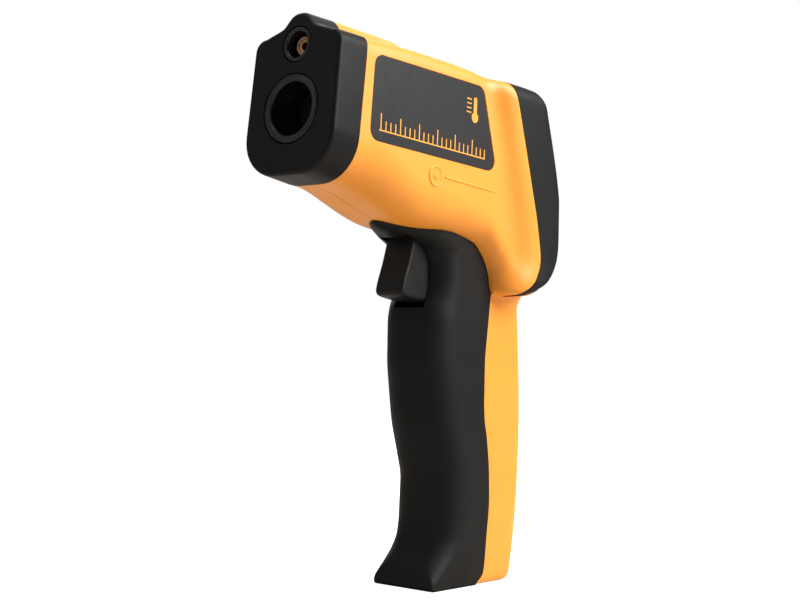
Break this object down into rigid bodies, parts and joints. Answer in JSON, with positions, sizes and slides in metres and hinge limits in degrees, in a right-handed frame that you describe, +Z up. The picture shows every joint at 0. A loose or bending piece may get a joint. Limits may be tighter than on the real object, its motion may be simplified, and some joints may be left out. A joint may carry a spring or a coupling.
{
  "type": "infrared thermometer",
  "caption": "Pistol-grip infrared thermometer: orange barrel with black nose, laser pointer, sloping display with keys, trigger and a grip cover that swings open over its battery.",
  "frame": {"origin": "middle of the bounding box's base, on the plane that the handle stands on", "axes": "+Z up the handle; the barrel points along -X; the left side faces -Y"},
  "size_m": [0.1009, 0.043, 0.153],
  "materials": {
    "orange_plastic": "satin",
    "black_plastic": "satin",
    "soft_black": "fine texture",
    "label_film": "fine metallic fleck",
    "brass": "turned",
    "steel": "plain",
    "dark_glass": "clear, dark",
    "lcd_glass": "polished",
    "silicon_lens": "polished",
    "board": "solder resist",
    "chip": "moulded",
    "battery_can": "printed",
    "red_wire": "smooth",
    "black_wire": "smooth"
  },
  "bodies": {
    "housing": {"left_housing": "orange_plastic", "right_housing": "orange_plastic", "nose_cap": "black_plastic", "display_cap": "black_plastic", "ir_aperture_ring": "black_plastic", "laser_bezel": "black_plastic", "lens_tube": "black_plastic", "ir_lens": "silicon_lens", "thermopile_can": "steel", "sensor_board": "board", "laser_barrel": "brass", "laser_lens": "dark_glass", "laser_diode": "steel", "laser_board": "board", "trigger_pin": "steel", "trigger_spring": "steel", "trigger_switch": "chip", "trigger_board": "board", "inner_frame": "black_plastic", "battery_case": "battery_can", "terminal_positive": "steel", "terminal_negative": "steel", "snap_connector": "black_wire", "door_pin": "steel", "lead_red": "red_wire", "lead_black": "black_wire", "laser_lead": "red_wire", "display_window": "dark_glass", "lcd_panel": "lcd_glass", "lcd_frame": "black_plastic", "contact_strip": "soft_black", "display_board": "board", "controller_chip": "chip", "key_board": "board", "left_label": "label_film", "right_label": "label_film", "buzzer": "chip", "key_1_switch": "chip", "key_2_switch": "chip", "key_3_switch": "chip", "housing_screw_1": "steel", "housing_screw_2": "steel", "housing_screw_3": "steel", "housing_screw_4": "steel", "board_screw_1": "steel", "board_screw_2": "steel"},
    "cover": {"battery_door": "soft_black"},
    "trigger_lever": {"trigger": "black_plastic"},
    "switch_plunger": {"trigger_plunger": "black_plastic"},
    "key_left": {"key_1_cap": "soft_black", "key_1_plunger": "soft_black"},
    "key_middle": {"key_2_cap": "soft_black", "key_2_plunger": "soft_black"},
    "key_right": {"key_3_cap": "soft_black", "key_3_plunger": "soft_black"}
  },
  "joints": [
    {"name": "cover_hinge", "type": "hinge", "parent": "housing", "child": "cover", "pos_m": [0.0095, 0, 0.0042], "axis": [0, -1, 0], "range_deg": [0, 60]},
    {"name": "trigger_pivot", "type": "hinge", "parent": "housing", "child": "trigger_lever", "pos_m": [0.002, 0, 0.104], "axis": [0, -1, 0], "range_deg": [0, 6], "stiffness_Nm_per_rad": 0.15, "springref_deg": -17.19, "deforming": ["trigger_spring"]},
    {"name": "switch_travel", "type": "slide", "parent": "housing", "child": "switch_plunger", "axis": [1, 0, 0], "range_m": [0, 0.0013]},
    {"name": "key_left_press", "type": "slide", "parent": "housing", "child": "key_left", "axis": [-1, 0, 0], "range_m": [0, 0.0006], "stiffness_N_per_m": 400, "springref_m": -0.002},
    {"name": "key_middle_press", "type": "slide", "parent": "housing", "child": "key_middle", "axis": [-1, 0, 0], "range_m": [0, 0.0006], "stiffness_N_per_m": 400, "springref_m": -0.002},
    {"name": "key_right_press", "type": "slide", "parent": "housing", "child": "key_right", "axis": [-1, 0, 0], "range_m": [0, 0.0006], "stiffness_N_per_m": 400, "springref_m": -0.002}
  ],
  "couplings": [
    {"joint": "switch_travel", "follows": "trigger_pivot", "m_per_rad": 0.0115}
  ]
}
